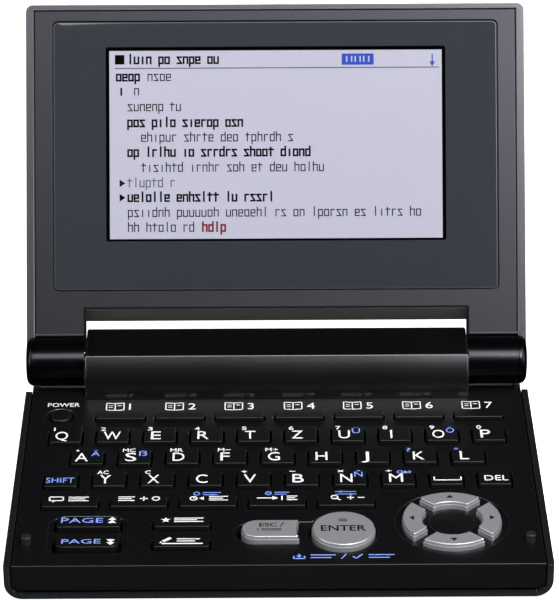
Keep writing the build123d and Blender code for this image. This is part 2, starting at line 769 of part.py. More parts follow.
def make_lid_back():
    """The outer shell with its rims, the two barrels and their end discs."""
    shell = make_lid_envelope() - notch(0)
    frame_back = frame_thickness - face_offset
    shell -= front_slab(frame_plan(frame_gap), -face_offset - past, frame_back)
    side = half - rim_width - lid_ledge
    top = lid_length - rim_top_width - lid_ledge
    inner = back_offset - lid_back_wall
    cavity_low = notch_at_face + notch_wall
    cavity = slab(-side, side, frame_back - sink, inner, cavity_low, top)
    for sign in (-1, 1):
        cavity += side_slab(sign, barrel_inner + notch_wall, side, frame_back - sink, inner,
                            barrel_radius + notch_wall, cavity_low + sink)
    shell -= cavity
    shell -= axle(-shaft_end, shaft_end, 0, 0, shaft_radius)
    ring_end = half - rim_width
    ring_start = ring_end - groove_width
    around = barrel_radius + past
    ring = axle(ring_start, ring_end, 0, 0, around)
    ring -= axle(ring_start, ring_end, 0, 0, barrel_radius - groove_depth)
    ring &= slab(ring_start, ring_end, -around, 0, -around, around)
    return shell - both_sides(ring) - cable_way(cable_radius + cable_clearance)


def cable_path():
    """Along the hinge axis, out of the left shaft and up inside the lid."""
    x_turn = -shaft_end - cable_rise / 2
    return FilletPolyline(
        (cable_tail - unit_inner, 0, 0),
        (x_turn, 0, 0),
        (x_turn, cable_inset, cable_rise + cable_slant),
        (x_turn, cable_inset, screen_below - glass_below),
        radius=cable_bend)


def cable_way(radius):
    path = cable_path()
    start = Plane(origin=path @ 0, z_dir=path % 0)
    return sweep(start * Circle(radius), path)


def make_lid_frame():
    """The front frame round the display window."""
    frame_back = frame_thickness - face_offset
    frame = front_slab(frame_plan(0), -face_offset, frame_back)
    rim = edges_at(frame, Axis.Y, -face_offset)
    frame = fillet(rim, frame_edge)
    seat = window_inset + window_thickness - face_offset
    frame -= front_slab(window_plan(frame_gap), -face_offset - past, seat)
    opening = Pos(0, screen_below + screen_height / 2) * Rectangle(
        screen_width + 2 * screen_border, screen_height + 2 * screen_border)
    return frame - front_slab(opening, -face_offset - past, frame_back + past)


def window_plan(gap):
    low = window_below - gap
    high = lid_length - window_above + gap
    width = case_width - 2 * window_side + 2 * gap
    return Pos(0, (low + high) / 2) * RectangleRounded(width, high - low, window_corner + gap)


def make_window():
    """The clear display window; its printed border is on the back."""
    outer = window_inset - face_offset
    window = front_slab(window_plan(0), outer, outer + window_thickness)
    return fillet(edges_at(window, Axis.Y, outer), window_edge)


def glass_box(grow, y0, y1):
    side = screen_width / 2 + glass_side + grow
    low = screen_below - glass_below - grow
    high = screen_below + screen_height + glass_side + grow
    return slab(-side, side, y0, y1, low, high)


def make_lcd():
    front = frame_thickness - face_offset
    return glass_box(0, front, front + glass_thickness)


def make_backlight():
    front = frame_thickness - face_offset + glass_thickness
    return glass_box(0, front, front + light_thickness)


def make_holder():
    """A thin metal tray round the glass and its backlight."""
    front = frame_thickness - face_offset
    back = front + glass_thickness + light_thickness
    tray = glass_box(holder_thickness, front + holder_inset, back + holder_thickness)
    return tray - glass_box(0, front - past, back)


def make_shafts():
    """The hinge shafts: fast in the barrels, turning in the friction units."""
    inner = unit_inner + shaft_inset
    shaft = axle(inner, shaft_end, 0, 0, shaft_radius)
    shaft -= axle(inner - past, shaft_end + past, 0, 0, cable_radius + cable_clearance)
    return both_sides(shaft)


def lean_back(shape):
    """From upright on the axis to its resting place."""
    return Pos(0, axis_y, axis_z) * Rot(-lid_lean, 0, 0) * shape


# ---------------------------------------------------------------- everything together
def make_all():
    envelope = case_envelope()
    parts = {
        "bottom_case": make_bottom_case(envelope),
        "keyboard_deck": make_keyboard_deck(),
        "hinge_block_cover": make_block_cover(),
        "battery_cover": make_battery_cover(envelope),
        "battery_cell": make_cell(),
        "battery_contacts": make_contacts(),
        "main_board": make_main_board(),
        "board_chips": make_board_chips(),
        "key_mat": make_key_mat(),
        "base_screws": make_screws(),
        "rubber_feet": make_feet(),
        "lid_buffers": make_buffers(),
        "hinge_units": make_hinge_units(),
    }
    parts.update(make_keys())
    lid = {
        "lid_back_cover": make_lid_back(),
        "lid_front_frame": make_lid_frame(),
        "display_window": make_window(),
        "lcd_panel": make_lcd(),
        "backlight_unit": make_backlight(),
        "lcd_holder": make_holder(),
        "hinge_shafts": make_shafts(),
        "display_cable": cable_way(cable_radius),
    }
    parts.update({name: lean_back(shape) for name, shape in lid.items()})
    return parts


all_parts = make_all()
boxes = [shape.bounding_box() for shape in all_parts.values()]
front_y = min(box.min.Y for box in boxes)
rear_y = max(box.max.Y for box in boxes)
to_origin = Pos(0, -(front_y + rear_y) / 2, 0)
os.makedirs("parts", exist_ok=True)
for node, shape in all_parts.items():
    export_step(to_origin * shape, os.path.join("parts", node + ".step"))
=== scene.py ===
import json
import math
import random
import bmesh
import bpy
from mathutils import Matrix, Vector


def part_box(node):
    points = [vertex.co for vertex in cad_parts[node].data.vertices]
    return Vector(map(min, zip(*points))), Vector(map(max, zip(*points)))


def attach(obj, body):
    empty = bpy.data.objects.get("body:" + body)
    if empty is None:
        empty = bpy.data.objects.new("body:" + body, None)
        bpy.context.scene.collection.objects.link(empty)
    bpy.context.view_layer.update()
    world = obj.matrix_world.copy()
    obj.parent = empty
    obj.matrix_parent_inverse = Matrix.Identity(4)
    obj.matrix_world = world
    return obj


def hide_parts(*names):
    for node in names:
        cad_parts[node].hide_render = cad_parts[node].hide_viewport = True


# Pocket electronic dictionary: finishes, softened edges, key tops, prints and the display.
# Sizes are in millimetres and mm turns them to metres; lights stand in metres.

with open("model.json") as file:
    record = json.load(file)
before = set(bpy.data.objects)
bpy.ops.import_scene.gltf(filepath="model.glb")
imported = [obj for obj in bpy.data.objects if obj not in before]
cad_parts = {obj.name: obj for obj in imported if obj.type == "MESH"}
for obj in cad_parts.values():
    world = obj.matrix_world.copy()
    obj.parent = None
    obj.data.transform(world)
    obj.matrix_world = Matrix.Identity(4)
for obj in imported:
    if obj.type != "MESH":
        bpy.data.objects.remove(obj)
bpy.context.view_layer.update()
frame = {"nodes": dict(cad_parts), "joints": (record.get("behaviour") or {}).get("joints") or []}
scene = bpy.context.scene
nodes = frame["nodes"]
joints = {joint["name"]: joint for joint in frame["joints"]}
mm = 0.001

# ---------------------------------------------------------------- sizes in millimetres
# case, deck and hinge block
deck_z = 8.4
deck_front_y = -59.910      # front edge of the deck; key places are counted from here
deck_edge_width = 0.2
case_floor_top = 1.9        # shows in the slot under the deck's front
case_edge_width = 0.14
block_half = 42.0
block_end_width = 0.4
# The deck's and case's edge in this stretch before the barrels is painted near-black as the barrels' shade.
trough_front = 10.0         # the deck's edge before the lid's barrels lies between these two
trough_rear = 15.0
trough_edge = 0.6           # and this far below the deck's top

# black keys
key_width = 6.75
key_depth = 6.2
key_pitch = 10.078
key_low = 6.4               # the keys' sides go down through the deck
key_top = 9.3
key_corner = 0.5
key_edge = 0.22
nub_half = 0.8              # the ridges on F and J
nub_front = 0.6
nub_rear = 1.0
nub_sunk = 0.1
nub_proud = 0.15
lookup_first_x = -43.03
lookup_pitch = 14.28
lookup_front = 21.2
lookup_width = 11.65
lookup_depth = 3.9
dictionary_first_x = -33.98
dictionary_pitch = 12.93
dictionary_front = 57.3
dictionary_width = 10.5
dictionary_depth = 2.6
small_rear = 13.3           # fronts of the two rows of small keys
small_front = 5.7
small_depth = 3.7
page_x = -38.75
page_width = 12.9
page_corner = 1.7
marker_x = -19.65
marker_width = 11.3
power_centre = (-46.9, 59.7)
power_radius = 2.3
power_edge = 0.4

# silver keys
silver_top = 9.6
silver_edge = 0.3
skirt_top = 8.85
skirt_out = 0.16
skirt_edge = 0.08
skirt_overlap = 0.1         # the caps reach this far into their skirts
pad_centre = (35.5, 15.6)
pad_outer = 10.05
pad_inner = 6.25
pad_gap = 2.5
pad_corner = 0.4
arrow_reach = 8.1
enter_centre = (13.25, 12.0)
enter_radius = 6.35
enter_edge = 0.35
escape_round = (-4.25, 12.0)
escape_half = 3.2
escape_hollow = 9.75        # round the middle of the enter key
escape_corner = 0.6

# lid, in its own upright frame on the hinge axis
lid_lean = 29.0
face = -1.45                # display face from the hinge axis
lid_edge_width = 0.2
frame_edge_width = 0.12
rim_inner_x = 53.3
rim_inner_z = 77.0
barrel_radius = 5.45
notch_half = 42.4           # the lid's notch over the hinge block
notch_wall = (8.5, 11.6)
finish_margin = 0.1         # faces nearer than this to a bound belong to the part behind it
lip_sides = (42.7, 53.6)
lip_heights = (5.6, 6.05)
lip_proud = 0.12
lip_sunk = 0.3
lip_edge = 0.13
window_half = 49.1
window_low = 15.7
window_high = 75.05
window_corner = 1.1
window_depth = -0.6         # depths are from the hinge axis to the rear of each layer
window_thickness = 0.8
window_edge_width = 0.2
window_rim = 1.2
screen_left = -36.8
screen_right = 37.0
screen_low = 27.0
screen_high = 68.8
screen_corner = 0.05
screen_border = 0.75        # clear stretch round the lit screen
clear_low = 26.43
clear_corner = 0.5
mask_border = 1.6
mask_thickness = 0.06
mask_depth = 0.08
picture_thickness = 0.1
picture_depth = 0.16
signs_depth = 0.05

axis = Vector(joints["lid_hinge"]["pos_m"])
to_lid = Matrix.Translation(axis) @ Matrix.Rotation(math.radians(-lid_lean), 4, "X")
to_deck = Matrix.Translation((0, deck_front_y * mm, 0))


# ---------------------------------------------------------------- finishes
def new_group(name, inputs, outputs):
    """An empty shader node group with its sockets, as group, input node and output node."""
    group = bpy.data.node_groups.new(name, "ShaderNodeTree")
    for label, kind, value in inputs:
        socket = group.interface.new_socket(label, in_out="INPUT", socket_type=kind)
        socket.default_value = value
    for label, kind in outputs:
        group.interface.new_socket(label, in_out="OUTPUT", socket_type=kind)
    return group, group.nodes.new("NodeGroupInput"), group.nodes.new("NodeGroupOutput")


def make_grain_group():
    """Fine moulded or sprayed grain: colour flecks, uneven gloss and a height for the bump."""
    group, source, result = new_group(
        "fine_grain",
        [("Vector", "NodeSocketVector", (0, 0, 0)), ("Base", "NodeSocketColor", (0.1, 0.1, 0.1, 1)),
         ("Fleck", "NodeSocketColor", (0.2, 0.2, 0.2, 1)), ("Fleck Share", "NodeSocketFloat", 0.3),
         ("Scale", "NodeSocketFloat", 4000.0), ("Roughness", "NodeSocketFloat", 0.4),
         ("Unevenness", "NodeSocketFloat", 0.1)],
        [("Color", "NodeSocketColor"), ("Roughness", "NodeSocketFloat"), ("Height", "NodeSocketFloat")])
    link = group.links.new
    fine = group.nodes.new("ShaderNodeTexNoise")
    fine.inputs["Detail"].default_value = 2.0
    fine.inputs["Roughness"].default_value = 0.7
    link(source.outputs["Vector"], fine.inputs["Vector"])
    link(source.outputs["Scale"], fine.inputs["Scale"])
    broad = group.nodes.new("ShaderNodeTexNoise")
    broad.inputs["Scale"].default_value = 60.0
    broad.inputs["Detail"].default_value = 3.0
    link(source.outputs["Vector"], broad.inputs["Vector"])
    spread = group.nodes.new("ShaderNodeMapRange")
    spread.inputs["From Min"].default_value = 0.45
    spread.inputs["From Max"].default_value = 0.75
    link(fine.outputs["Fac"], spread.inputs["Value"])
    share = group.nodes.new("ShaderNodeMath")
    share.operation = "MULTIPLY"
    link(spread.outputs["Result"], share.inputs[0])
    link(source.outputs["Fleck Share"], share.inputs[1])
    mix = group.nodes.new("ShaderNodeMix")
    mix.data_type = "RGBA"
    link(share.outputs["Value"], mix.inputs["Factor"])
    link(source.outputs["Base"], mix.inputs["A"])
    link(source.outputs["Fleck"], mix.inputs["B"])
    centred = group.nodes.new("ShaderNodeMath")
    centred.operation = "SUBTRACT"
    centred.inputs[1].default_value = 0.5
    link(broad.outputs["Fac"], centred.inputs[0])
    rough = group.nodes.new("ShaderNodeMath")
    rough.operation = "MULTIPLY_ADD"
    rough.use_clamp = True
    link(centred.outputs["Value"], rough.inputs[0])
    link(source.outputs["Unevenness"], rough.inputs[1])
    link(source.outputs["Roughness"], rough.inputs[2])
    link(mix.outputs["Result"], result.inputs["Color"])
    link(rough.outputs["Value"], result.inputs["Roughness"])
    link(fine.outputs["Fac"], result.inputs["Height"])
    return group


grain = make_grain_group()


bump_depth = 0.00002        # metres


def finish(name, base, fleck=None, share=0.3, scale=4000.0, roughness=0.4, unevenness=0.1, metallic=0.0,
           coat=0.0, coat_roughness=0.1, bump=0.1, specular=0.5, tint=(1, 1, 1), emission=None,
           strength=1.0):
    """A material whose colour, gloss and surface come from the fine grain."""
    material = bpy.data.materials.new(name)
    material.use_nodes = True
    tree = material.node_tree
    shader = tree.nodes["Principled BSDF"]
    shader.inputs["Metallic"].default_value = metallic
    shader.inputs["Coat Weight"].default_value = coat
    shader.inputs["Coat Roughness"].default_value = coat_roughness
    shader.inputs["Specular IOR Level"].default_value = specular
    shader.inputs["Specular Tint"].default_value = (*tint, 1)
    place = tree.nodes.new("ShaderNodeTexCoord")
    effect = tree.nodes.new("ShaderNodeGroup")
    effect.node_tree = grain
    effect.inputs["Base"].default_value = (*base, 1)
    effect.inputs["Fleck"].default_value = (*(fleck or [1.6 * part for part in base]), 1)
    effect.inputs["Fleck Share"].default_value = share
    effect.inputs["Scale"].default_value = scale
    effect.inputs["Roughness"].default_value = roughness
    effect.inputs["Unevenness"].default_value = unevenness
    tree.links.new(place.outputs["Object"], effect.inputs["Vector"])
    tree.links.new(effect.outputs["Color"], shader.inputs["Base Color"])
    tree.links.new(effect.outputs["Roughness"], shader.inputs["Roughness"])
    if bump:
        relief = tree.nodes.new("ShaderNodeBump")
        relief.inputs["Strength"].default_value = bump
        relief.inputs["Distance"].default_value = bump_depth
        tree.links.new(effect.outputs["Height"], relief.inputs["Height"])
        tree.links.new(relief.outputs["Normal"], shader.inputs["Normal"])
    if emission:
        shader.inputs["Emission Color"].default_value = (*emission, 1)
        shader.inputs["Emission Strength"].default_value = strength
    return material


# lid: sprayed paint with a fine fleck
sprayed = {"scale": 5000, "unevenness": 0.06, "bump": 0.2}
lid_paint = finish("lid_paint", (0.0060, 0.0060, 0.0075), (0.016, 0.016, 0.019), share=0.4, roughness=0.38,
                   specular=0.33, tint=(0.85, 0.85, 1.0), **sprayed)
rim_paint = finish("rim_paint", (0.026, 0.026, 0.029), (0.06, 0.06, 0.065), share=0.5, roughness=0.30,
                   specular=0.45, tint=(0.88, 0.88, 1.0), **sprayed)
back_paint = finish("back_paint", (0.018, 0.018, 0.021), (0.06, 0.06, 0.066), share=0.5, roughness=0.34,
                    specular=0.6, **sprayed)
# painted highlight: a lighter, glossier finish for the lid's rounded front edges
rim_edge_highlight = finish("rim_edge_highlight", (0.07, 0.07, 0.078), (0.1, 0.1, 0.11), share=0.4, roughness=0.30,
                  specular=1.0, **sprayed)
# painted highlight: a lighter finish for the window's rounded outer rim
window_edge_highlight = finish("window_edge_highlight", (0.035, 0.037, 0.042), share=0.15, scale=900, roughness=0.3, bump=0.0,
                     specular=0.5)
# painted highlight: a lighter, glossier finish for the deck's rounded top edges
deck_edge_highlight = finish("deck_edge_highlight", (0.006, 0.006, 0.007), share=0.4, scale=3500, roughness=0.24, bump=0.1,
                   specular=0.9)
window_print = finish("window_print", (0.0205, 0.0230, 0.0275), share=0.15, scale=900, roughness=0.25,
                      coat=1.0, coat_roughness=0.03, bump=0.0, specular=0.0)
window_black = finish("window_black", (0.001, 0.001, 0.001), share=0.2, roughness=0.3, bump=0.0,
                      specular=0.0)

# hinge block and barrels: black lacquer
lacquer = {"share": 0.2, "scale": 3000, "unevenness": 0.05, "bump": 0.25}
block_paint = finish("block_paint", (0.0003, 0.0003, 0.0004), (0.008, 0.008, 0.009), roughness=0.22,
                     specular=0.9, tint=(0.9, 0.92, 1.0), coat=1.0, coat_roughness=0.22, **lacquer)
block_top_paint = finish("block_top_paint", (0.0003, 0.0003, 0.0004), (0.008, 0.008, 0.009), roughness=0.3,
                         specular=0.4, tint=(0.9, 0.92, 1.0), **lacquer)
# painted shade: a near-black finish for the deck's and case's edge under the barrels, where their shade
# falls
painted_trough_shade = finish("painted_trough_shade", (0.0006, 0.0006, 0.0007), roughness=0.6, bump=0.0, specular=0.02)
barrel_paint = finish("barrel_paint", (0.0003, 0.0003, 0.0005), (0.005, 0.005, 0.006), roughness=0.22,
                      specular=0.27, tint=(0.88, 0.9, 1.0), **lacquer)
notch_paint = finish("notch_paint", (0.075, 0.075, 0.067), (0.11, 0.11, 0.10), share=0.4, scale=3000,
                     roughness=0.5, unevenness=0.06, bump=0.2, specular=0.3)

# mouldings and keys
case_plastic = finish("case_plastic", (0.007, 0.007, 0.008), share=0.4, scale=3000, roughness=0.32,
                      bump=0.15, specular=0.3)
deck_plastic = finish("deck_plastic", (0.0022, 0.0023, 0.0028), share=0.5, scale=3500, roughness=0.36,
                      bump=0.2, specular=0.3)
key_plastic = finish("key_plastic", (0.0025, 0.0025, 0.0027), share=0.5, scale=4500, roughness=0.36,
                     bump=0.2, specular=0.3)
silver_paint = finish("silver_paint", (0.38, 0.385, 0.40), (0.5, 0.5, 0.52), share=0.5, scale=7000,
                      roughness=0.36, metallic=0.6, bump=0.25)

# printed inks
ink = {"share": 0.1, "roughness": 0.5, "bump": 0.0}
white_ink = finish("white_ink", (0.78, 0.78, 0.80), **ink)
blue_ink = finish("blue_ink", (0.20, 0.29, 0.78), **ink)
black_ink = finish("black_ink", (0.004, 0.004, 0.005), specular=0.1, **ink)

# rubber, metals and inner parts
rubber = finish("rubber", (0.03, 0.03, 0.032), share=0.4, scale=2500, roughness=0.6, bump=0.2)
buffer_rubber = finish("buffer_rubber", (0.009, 0.009, 0.0095), share=0.4, scale=2500, roughness=0.5,
                       bump=0.2, specular=0.35)
steel = finish("pressed_steel", (0.45, 0.45, 0.46), share=0.3, scale=1500, roughness=0.35, metallic=1.0)
nickel = finish("nickel_plate", (0.62, 0.61, 0.58), share=0.2, scale=1500, roughness=0.25, metallic=1.0)
laminate = finish("board_laminate", (0.02, 0.13, 0.05), share=0.4, scale=800, roughness=0.4)
light_guide = finish("light_guide", (0.8, 0.82, 0.84), share=0.1, roughness=0.5)
sleeve = finish("cell_sleeve", (0.09, 0.09, 0.1), share=0.3, scale=900, roughness=0.35, metallic=0.3)

# window and display
lit_screen = finish("lit_screen", (0.02, 0.02, 0.022), share=0.1, roughness=0.4, bump=0.0,
                    emission=(0.56, 0.55, 0.69))
window_pane = finish("window_pane", (1.0, 1.0, 1.0), (1.0, 1.0, 1.0), share=0.0, scale=50, roughness=0.0,
                     unevenness=0.0, bump=0.0)
window_pane.node_tree.nodes["Principled BSDF"].inputs["Transmission Weight"].default_value = 1.0
pixel = {"share": 0.1, "roughness": 0.6, "bump": 0.0, "specular": 0.05}
pixel_black = finish("pixel_black", (0.002, 0.002, 0.002), **pixel)
pixel_grey = finish("pixel_grey", (0.02, 0.02, 0.025), emission=(0.10, 0.10, 0.13), **pixel)
pixel_red = finish("pixel_red", (0.02, 0.0, 0.0), emission=(0.20, 0.02, 0.02), **pixel)
pixel_blue = finish("pixel_blue", (0.0, 0.0, 0.02), emission=(0.05, 0.10, 0.60), **pixel)

node_finish = {
    "bottom_case": case_plastic, "battery_cover": case_plastic, "keyboard_deck": deck_plastic,
    "hinge_block_cover": block_paint, "lid_back_cover": rim_paint, "lid_front_frame": lid_paint,
    "lcd_panel": window_black, "backlight_unit": light_guide, "lcd_holder": steel, "hinge_shafts": steel,
    "hinge_units": steel, "base_screws": steel, "battery_cell": sleeve, "battery_contacts": nickel,
    "main_board": laminate, "board_chips": key_plastic, "key_mat": rubber, "rubber_feet": rubber,
    "lid_buffers": buffer_rubber, "display_cable": rubber,
}
for node, material in node_finish.items():
    nodes[node].data.materials.clear()
    nodes[node].data.materials.append(material)


# ---------------------------------------------------------------- mesh helpers
sharp_angle = 35            # degrees between faces that stay sharp
weld = 0.01                 # points nearer than this are one
cad_weld = 0.002            # the same in the parts' own meshes
flat = 0.99                 # least upward part of a flat top's normal
corner_turn = 0.5           # radians; an edge that turns more is a corner
least_upright = 0.2         # shorter upright edges belong to a rounding
arc_step = 0.3              # length of one step along an arc


def merge(target, part, matrix=Matrix.Identity(4)):
    """Moves a part's mesh by the matrix and adds it to the target."""
    part.transform(matrix)
    mesh = bpy.data.meshes.new("passing")
    part.to_mesh(mesh)
    part.free()
    target.from_mesh(mesh)
    bpy.data.meshes.remove(mesh)


def finished(name, bm, body, materials, replaces=(), matrix=Matrix.Identity(4), weight=50):
    """Makes the mesh a smooth-shaded object that rides on its body."""
    bm.transform(matrix)
    mesh = bpy.data.meshes.new(name)
    bm.to_mesh(mesh)
    bm.free()
    for polygon in mesh.polygons:
        polygon.use_smooth = True
    mesh.set_sharp_from_angle(angle=math.radians(sharp_angle))
    for material in materials:
        mesh.materials.append(material)
    piece = bpy.data.objects.new(name, mesh)
    scene.collection.objects.link(piece)
    flats = piece.modifiers.new("flat_faces_stay_flat", "WEIGHTED_NORMAL")
    flats.keep_sharp = True
    flats.weight = weight
    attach(piece, body)
    if replaces:
        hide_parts(*replaces)
    return piece


def block(x, y, z):
    """A closed box from its ranges along the three axes."""
    bm = bmesh.new()
    ranges = (x, y, z)
    size = [(high - low) * mm for low, high in ranges]
    middle = [(high + low) / 2 * mm for low, high in ranges]
    bmesh.ops.create_cube(bm, size=1, matrix=Matrix.Translation(middle) @ Matrix.Diagonal((*size, 1)))
    return bm


def bevel(bm, edges, width, segments=3, material=None):
    """Rounds the edges and, if asked, gives the new faces another finish of the piece."""
    made = bmesh.ops.bevel(bm, geom=list(edges), offset=width * mm, segments=segments, profile=0.5,
                           affect="EDGES", material=-1)
    if material is not None:
        for f in made["faces"]:
            f.material_index = material


def uprights(bm):
    """The sharp edges that run straight up between the side faces."""
    bm.normal_update()
    runs = [(e, e.verts[0].co - e.verts[1].co) for e in bm.edges]
    return [e for e, run in runs if abs(run.z) > least_upright * mm and run.xy.length < weld * mm
            and e.calc_face_angle(0) > corner_turn]


def round_top(bm, width, segments=3):
    """Rounds the rim of the highest flat face."""
    bm.normal_update()
    tops = [f for f in bm.faces if f.normal.z > flat]
    top = max(tops, key=lambda f: (round(f.calc_center_median().z, 7), f.calc_area()))
    bevel(bm, top.edges, width, segments)


def rounded_cap(x, front, width, depth, front_corner=None):
    """A rectangular key; its front edge is counted from the front of the deck."""
    bm = block((x - width / 2, x + width / 2), (front, front + depth), (key_low, key_top))
    if front_corner:
        middle = (front + depth / 2) * mm
        bevel(bm, [e for e in uprights(bm) if e.verts[0].co.y < middle], front_corner, 8)
        bevel(bm, [e for e in uprights(bm) if e.verts[0].co.y > middle], key_corner, 5)
    else:
        bevel(bm, uprights(bm), key_corner, 5)
    round_top(bm, key_edge)
    return bm


def outline(bm, arcs):
    """A closed line through arcs of centre, radius, first and last angle in degrees."""
    ends = []
    for centre, radius, first, last in arcs:
        turn = math.radians(last - first)
        towards = Vector((math.cos(math.radians(first)), math.sin(math.radians(first))))
        start = bm.verts.new((Vector(centre) + radius * towards).to_3d() * mm)
        made = bmesh.ops.spin(bm, geom=[start], cent=Vector(centre).to_3d() * mm, axis=(0, 0, 1),
                              angle=turn, steps=max(4, int(abs(turn) * radius / arc_step)))
        ends.append((start, next(v for v in made["geom_last"] if isinstance(v, bmesh.types.BMVert))))
    for i, (_, end) in enumerate(ends):
        start = ends[(i + 1) % len(ends)][0]
        if end is not start and (end.co - start.co).length > weld * mm:
            bm.edges.new((end, start))
    bmesh.ops.remove_doubles(bm, verts=bm.verts, dist=weld * mm)


def outline_plate(arcs, low, high, opening=None):
    """A plate between two heights with that outline and, if given, an opening of as many arcs."""
    bm = bmesh.new()
    outline(bm, arcs)
    if opening:
        outline(bm, opening)
        bmesh.ops.bridge_loops(bm, edges=bm.edges[:])
    else:
        bmesh.ops.contextual_create(bm, geom=bm.edges[:])
    raise_faces(bm, high - low)
    bmesh.ops.translate(bm, verts=bm.verts, vec=(0, 0, low * mm))
    return bm


def corners(x0, x1, y0, y1, radius):
    """The four corner arcs of a rounded rectangle."""
    return [((x1 - radius, y1 - radius), radius, 0, 90), ((x0 + radius, y1 - radius), radius, 90, 180),
            ((x0 + radius, y0 + radius), radius, 180, 270), ((x1 - radius, y0 + radius), radius, 270, 360)]


def raise_faces(bm, height):
    """Gives flat faces at z = 0 a thickness upwards and closes them below."""
    made = bmesh.ops.extrude_face_region(bm, geom=bm.faces[:], use_keep_orig=True)
    bmesh.ops.translate(bm, verts=[v for v in made["geom"] if isinstance(v, bmesh.types.BMVert)],
                        vec=(0, 0, height * mm))
    bmesh.ops.recalc_face_normals(bm, faces=bm.faces)


# ---------------------------------------------------------------- printed marks
font_cap_height = 0.682     # of the built-in font at size 1
font_weld = 1e-5            # at size 1
ink_thick = 0.02
line_width = 0.3
ring_width = 0.28
star_waist = 0.42           # inner points of a star to its outer ones
triangle_height = 1.5       # of a triangle in a circle of radius 1
triangle_side = 1.732


def words(text, height, width=None, left=None, centre=0.0, low=0.0, bold=0.0):
    """Raised lettering of a cap height and, if given, a width, placed by its left edge or its middle."""
    curve = bpy.data.curves.new("words", "FONT")
    curve.body = text
    curve.offset = bold
    curve.resolution_u = 3
    holder = bpy.data.objects.new("words", curve)
    scene.collection.objects.link(holder)
    bpy.context.view_layer.update()
    mesh = bpy.data.meshes.new_from_object(holder.evaluated_get(bpy.context.evaluated_depsgraph_get()))
    bpy.data.objects.remove(holder)
    bpy.data.curves.remove(curve)
    bm = bmesh.new()
    bm.from_mesh(mesh)
    bpy.data.meshes.remove(mesh)
    bmesh.ops.remove_doubles(bm, verts=bm.verts, dist=font_weld)
    first = min(v.co.x for v in bm.verts)
    last = max(v.co.x for v in bm.verts)
    tall = height / font_cap_height
    wide = width / (last - first) if width else tall
    start = left if left is not None else centre - wide * (last - first) / 2
    bmesh.ops.translate(bm, verts=bm.verts, vec=(-first, 0, 0))
    bmesh.ops.scale(bm, verts=bm.verts, vec=(wide * mm, tall * mm, 1))
    bmesh.ops.translate(bm, verts=bm.verts, vec=(start * mm, low * mm, 0))
    raise_faces(bm, ink_thick)
    return bm


def stroke(bm, x0, y0, x1, y1, width=line_width):
    """Adds a straight stroke from one point to another."""
    start = Vector((x0, y0, ink_thick / 2))
    end = Vector((x1, y1, ink_thick / 2))
    run = end - start
    matrix = (Matrix.Translation((start + end) / 2 * mm) @ Matrix.Rotation(math.atan2(run.y, run.x), 4, "Z")
              @ Matrix.Diagonal((run.length * mm, width * mm, ink_thick * mm, 1)))
    bmesh.ops.create_cube(bm, size=1, matrix=matrix)


def bar(*ends):
    """One stroke as a mark of its own."""
    bm = bmesh.new()
    stroke(bm, *ends)
    return bm


def path(*points):
    """Strokes from each point to the next."""
    return [bar(*start, *end) for start, end in zip(points, points[1:])]


def ruled(left, lines, width=line_width):
    """Level strokes that start at one left edge, from their heights and right ends."""
    return [bar(left, height, right, height, width) for height, right in lines]


def plus(x, y, reach):
    """A plus sign."""
    return [bar(x - reach, y, x + reach, y), bar(x, y - reach, x, y + reach)]


def tray(left, right, low, high):
    """A level stroke with a side at each end."""
    foot = low - line_width / 2
    return [bar(left, low, right, low), bar(left, foot, left, high), bar(right, foot, right, high)]


def open_book(left, low, page=1.9, tall=3.0, sag=0.2, line=0.25, text_line=0.2):
    """Two facing pages with lines of text."""
    spine = left + page
    right = spine + page
    high = low + tall
    return [bar(left, low, left, high, line), bar(spine, low - sag, spine, high - sag, line),
            bar(right, low, right, high, line), bar(left, high, spine, high - sag, line),
            bar(spine, high - sag, right, high, line), bar(left, low, spine, low - sag, line),
            bar(spine, low - sag, right, low, line),
            *ruled(left + 0.5, [(low + 1.9, left + 1.4), (low + 1.1, left + 1.4)], text_line),
            *ruled(left + 2.4, [(low + 1.9, left + 3.3)], text_line)]


def disc(x, y, radius, sides=20, hollow=0.0):
    """A round or many-sided spot; hollow is the width of the line when only its rim is drawn."""
    bm = bmesh.new()
    bmesh.ops.create_circle(bm, cap_ends=True, segments=sides, radius=radius * mm)
    if hollow:
        bmesh.ops.inset_region(bm, faces=bm.faces[:], thickness=hollow * mm, use_boundary=True)
        middle = min(bm.faces, key=lambda f: f.calc_center_median().length)
        bmesh.ops.delete(bm, geom=[middle], context="FACES")
    raise_faces(bm, ink_thick)
    bm.transform(Matrix.Translation((x * mm, y * mm, 0)))
    return bm


def star(x, y, radius):
    """A star with five points, one of them up."""
    bm = disc(x, y, radius, sides=10)
    middle = Vector((x, y)) * mm
    for v in bm.verts:
        corner = round(math.degrees(math.atan2(v.co.y - middle.y, v.co.x - middle.x) - math.pi / 2) / 36)
        if corner % 2:
            v.co.xy = middle + star_waist * (v.co.xy - middle)
    return bm


def pointer(x, y, across, along, turn):
    """A filled triangle whose tip points to the turn, 0 along +x."""
    bm = disc(0, 0, 1, sides=3)
    bm.transform(Matrix.Translation((x * mm, y * mm, 0)) @ Matrix.Rotation(math.radians(turn), 4, "Z")
                 @ Matrix.Diagonal((along / triangle_height, across / triangle_side, 1, 1))
                 @ Matrix.Rotation(math.radians(-90), 4, "Z"))
    return bm


def printed(target, marks, x, y, z, colour):
    """Adds marks to a piece at a place on its surface, in one ink."""
    for bm in marks:
        for f in bm.faces:
            f.material_index = colour
        merge(target, bm, Matrix.Translation((x * mm, y * mm, z * mm)))


